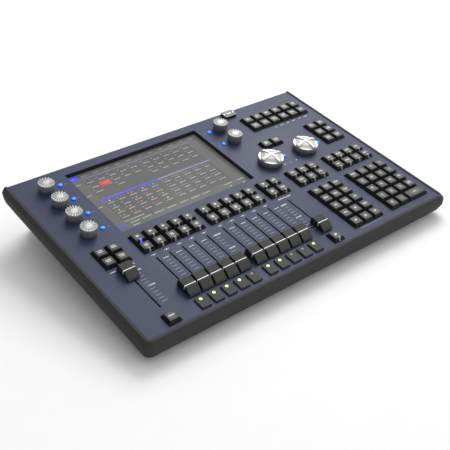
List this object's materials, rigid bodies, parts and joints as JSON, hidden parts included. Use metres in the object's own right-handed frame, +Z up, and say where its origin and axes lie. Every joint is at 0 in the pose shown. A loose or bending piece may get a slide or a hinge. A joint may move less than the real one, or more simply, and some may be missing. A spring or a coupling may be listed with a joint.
{
  "type": "lighting control desk",
  "caption": "Sloping stage lighting control desk with a recessed touch screen, playback faders, flash keys, encoders, jog wheels and key blocks.",
  "frame": {"origin": "on the bench, under the centre of the desk's bounding box", "axes": "+X to the operator's right, +Y towards the back, +Z up; the panel slopes up towards +Y"},
  "size_m": [0.522, 0.3438, 0.0928],
  "materials": {
    "panel_paint": "fine satin powder coat, slate blue",
    "edge_rubber": "matt moulded",
    "case_paint": "black powder coat",
    "rear_paint": "light grey powder coat",
    "corner_grey": "light grey moulded",
    "key_black": "fine matt moulded",
    "fader_black": "textured moulded",
    "knob_silver": "silver-painted moulded",
    "led_blue": "lit blue lens",
    "lens_green": "lit yellow-green lens",
    "screen_glass": "clear touch glass",
    "screen": "lit display",
    "bezel_black": "matt black",
    "board_green": "solder-masked laminate",
    "fader_steel": "zinc plated",
    "socket_black": "moulded",
    "socket_steel": "tinned shell",
    "screw_steel": "black zinc",
    "supply_case": "perforated case",
    "foot_rubber": "matt"
  },
  "bodies": {
    "desk": {"base_tub": "case_paint", "board_standoffs": "socket_steel", "case_screws": "screw_steel", "chassis_frame": "case_paint", "display_bezel": "bezel_black", "display_module": "screen", "dmx_sockets": "socket_black", "edge_bumper": "edge_rubber", "encoder_board": "board_green", "encoder_bodies": "socket_steel", "fader_bodies": "fader_steel", "feet": "foot_rubber", "indicator_leds": "led_blue", "key_switches": "socket_black", "keypad_board": "board_green", "lamp_socket": "socket_black", "main_board": "board_green", "mains_inlet": "socket_black", "network_sockets": "socket_steel", "playback_board": "board_green", "power_supply": "supply_case", "rear_corner_caps": "corner_grey", "rear_panel": "rear_paint", "top_panel": "panel_paint", "touch_glass": "screen_glass", "usb_socket": "socket_steel", "video_socket": "socket_black"},
    "fader_master": {"fader_master": "fader_black"},
    "fader_playback_01": {"fader_playback_01": "fader_black"},
    "fader_playback_02": {"fader_playback_02": "fader_black"},
    "fader_playback_03": {"fader_playback_03": "fader_black"},
    "fader_playback_04": {"fader_playback_04": "fader_black"},
    "fader_playback_05": {"fader_playback_05": "fader_black"},
    "fader_playback_06": {"fader_playback_06": "fader_black"},
    "fader_playback_07": {"fader_playback_07": "fader_black"},
    "fader_playback_08": {"fader_playback_08": "fader_black"},
    "fader_playback_09": {"fader_playback_09": "fader_black"},
    "fader_playback_10": {"fader_playback_10": "fader_black"},
    "fader_cue": {"fader_cue": "fader_black"},
    "encoder_left_1": {"encoder_left_1": "knob_silver"},
    "encoder_left_2": {"encoder_left_2": "knob_silver"},
    "encoder_left_3": {"encoder_left_3": "knob_silver"},
    "encoder_left_4": {"encoder_left_4": "knob_silver"},
    "encoder_right_1": {"encoder_right_1": "knob_silver"},
    "encoder_right_2": {"encoder_right_2": "knob_silver"},
    "jog_wheel_1": {"jog_wheel_1": "knob_silver"},
    "jog_wheel_2": {"jog_wheel_2": "knob_silver"},
    "master_keys": {"master_keys": "key_black"},
    "go_keys": {"go_keys": "key_black"},
    "pause_keys": {"pause_keys": "key_black"},
    "cue_keys": {"cue_keys": "key_black"},
    "page_keys": {"page_keys": "key_black"},
    "select_keys": {"select_keys": "key_black"},
    "function_keys": {"function_keys": "key_black"},
    "number_keys": {"number_keys": "key_black"},
    "window_keys": {"window_keys": "key_black"},
    "cursor_keys": {"cursor_keys": "key_black"},
    "flash_keys": {"flash_keys": "key_black", "flash_lenses": "lens_green"},
    "power_rocker": {"power_rocker": "socket_black"}
  },
  "joints": [
    {"name": "fader_master_slide", "type": "slide", "parent": "desk", "child": "fader_master", "axis": [0, 0.9874, 0.1582], "range_m": [-0.06, 0]},
    {"name": "fader_playback_01_slide", "type": "slide", "parent": "desk", "child": "fader_playback_01", "axis": [0, 0.9874, 0.1582], "range_m": [0, 0.06]},
    {"name": "fader_playback_02_slide", "type": "slide", "parent": "desk", "child": "fader_playback_02", "axis": [0, 0.9874, 0.1582], "range_m": [0, 0.06]},
    {"name": "fader_playback_03_slide", "type": "slide", "parent": "desk", "child": "fader_playback_03", "axis": [0, 0.9874, 0.1582], "range_m": [0, 0.06]},
    {"name": "fader_playback_04_slide", "type": "slide", "parent": "desk", "child": "fader_playback_04", "axis": [0, 0.9874, 0.1582], "range_m": [0, 0.06]},
    {"name": "fader_playback_05_slide", "type": "slide", "parent": "desk", "child": "fader_playback_05", "axis": [0, 0.9874, 0.1582], "range_m": [0, 0.06]},
    {"name": "fader_playback_06_slide", "type": "slide", "parent": "desk", "child": "fader_playback_06", "axis": [0, 0.9874, 0.1582], "range_m": [0, 0.06]},
    {"name": "fader_playback_07_slide", "type": "slide", "parent": "desk", "child": "fader_playback_07", "axis": [0, 0.9874, 0.1582], "range_m": [0, 0.06]},
    {"name": "fader_playback_08_slide", "type": "slide", "parent": "desk", "child": "fader_playback_08", "axis": [0, 0.9874, 0.1582], "range_m": [0, 0.06]},
    {"name": "fader_playback_09_slide", "type": "slide", "parent": "desk", "child": "fader_playback_09", "axis": [0, 0.9874, 0.1582], "range_m": [0, 0.06]},
    {"name": "fader_playback_10_slide", "type": "slide", "parent": "desk", "child": "fader_playback_10", "axis": [0, 0.9874, 0.1582], "range_m": [0, 0.06]},
    {"name": "fader_cue_slide", "type": "slide", "parent": "desk", "child": "fader_cue", "axis": [0, 0.9874, 0.1582], "range_m": [0, 0.06]},
    {"name": "encoder_left_1_turn", "type": "hinge", "parent": "desk", "child": "encoder_left_1", "pos_m": [-0.2115, 0.12706, 0.0775], "axis": [0, -0.1582, 0.9874], "continuous": true},
    {"name": "encoder_left_2_turn", "type": "hinge", "parent": "desk", "child": "encoder_left_2", "pos_m": [-0.2115, 0.09241, 0.07195], "axis": [0, -0.1582, 0.9874], "continuous": true},
    {"name": "encoder_left_3_turn", "type": "hinge", "parent": "desk", "child": "encoder_left_3", "pos_m": [-0.2115, 0.05775, 0.0664], "axis": [0, -0.1582, 0.9874], "continuous": true},
    {"name": "encoder_left_4_turn", "type": "hinge", "parent": "desk", "child": "encoder_left_4", "pos_m": [-0.2115, 0.02309, 0.06084], "axis": [0, -0.1582, 0.9874], "continuous": true},
    {"name": "encoder_right_1_turn", "type": "hinge", "parent": "desk", "child": "encoder_right_1", "pos_m": [0.0838, 0.12706, 0.0775], "axis": [0, -0.1582, 0.9874], "continuous": true},
    {"name": "encoder_right_2_turn", "type": "hinge", "parent": "desk", "child": "encoder_right_2", "pos_m": [0.0838, 0.09241, 0.07195], "axis": [0, -0.1582, 0.9874], "continuous": true},
    {"name": "jog_wheel_1_turn", "type": "hinge", "parent": "desk", "child": "jog_wheel_1", "pos_m": [0.0936, 0.02279, 0.0608], "axis": [0, -0.1582, 0.9874], "continuous": true},
    {"name": "jog_wheel_2_turn", "type": "hinge", "parent": "desk", "child": "jog_wheel_2", "pos_m": [0.1628, 0.02279, 0.0608], "axis": [0, -0.1582, 0.9874], "continuous": true},
    {"name": "master_keys_press", "type": "slide", "parent": "desk", "child": "master_keys", "axis": [0, 0.1582, -0.9874], "range_m": [0, 0.0015], "stiffness_N_per_m": 300, "springref_m": -0.003},
    {"name": "go_keys_press", "type": "slide", "parent": "desk", "child": "go_keys", "axis": [0, 0.1582, -0.9874], "range_m": [0, 0.0015], "stiffness_N_per_m": 600, "springref_m": -0.003},
    {"name": "pause_keys_press", "type": "slide", "parent": "desk", "child": "pause_keys", "axis": [0, 0.1582, -0.9874], "range_m": [0, 0.0015], "stiffness_N_per_m": 600, "springref_m": -0.003},
    {"name": "cue_keys_press", "type": "slide", "parent": "desk", "child": "cue_keys", "axis": [0, 0.1582, -0.9874], "range_m": [0, 0.0015], "stiffness_N_per_m": 300, "springref_m": -0.003},
    {"name": "page_keys_press", "type": "slide", "parent": "desk", "child": "page_keys", "axis": [0, 0.1582, -0.9874], "range_m": [0, 0.0015], "stiffness_N_per_m": 360, "springref_m": -0.003},
    {"name": "select_keys_press", "type": "slide", "parent": "desk", "child": "select_keys", "axis": [0, 0.1582, -0.9874], "range_m": [0, 0.0015], "stiffness_N_per_m": 480, "springref_m": -0.003},
    {"name": "function_keys_press", "type": "slide", "parent": "desk", "child": "function_keys", "axis": [0, 0.1582, -0.9874], "range_m": [0, 0.0015], "stiffness_N_per_m": 900, "springref_m": -0.003},
    {"name": "number_keys_press", "type": "slide", "parent": "desk", "child": "number_keys", "axis": [0, 0.1582, -0.9874], "range_m": [0, 0.0015], "stiffness_N_per_m": 1140, "springref_m": -0.003},
    {"name": "window_keys_press", "type": "slide", "parent": "desk", "child": "window_keys", "axis": [0, 0.1582, -0.9874], "range_m": [0, 0.0015], "stiffness_N_per_m": 720, "springref_m": -0.003},
    {"name": "cursor_keys_press", "type": "slide", "parent": "desk", "child": "cursor_keys", "axis": [0, 0.1582, -0.9874], "range_m": [0, 0.0015], "stiffness_N_per_m": 480, "springref_m": -0.003},
    {"name": "flash_keys_press", "type": "slide", "parent": "desk", "child": "flash_keys", "axis": [0, 0.1582, -0.9874], "range_m": [0, 0.0015], "stiffness_N_per_m": 600, "springref_m": -0.003},
    {"name": "power_rocker_tilt", "type": "hinge", "parent": "desk", "child": "power_rocker", "pos_m": [0.1605, 0.16238, 0.03657], "axis": [1, 0, 0], "range_deg": [-20, 0]}
  ]
}
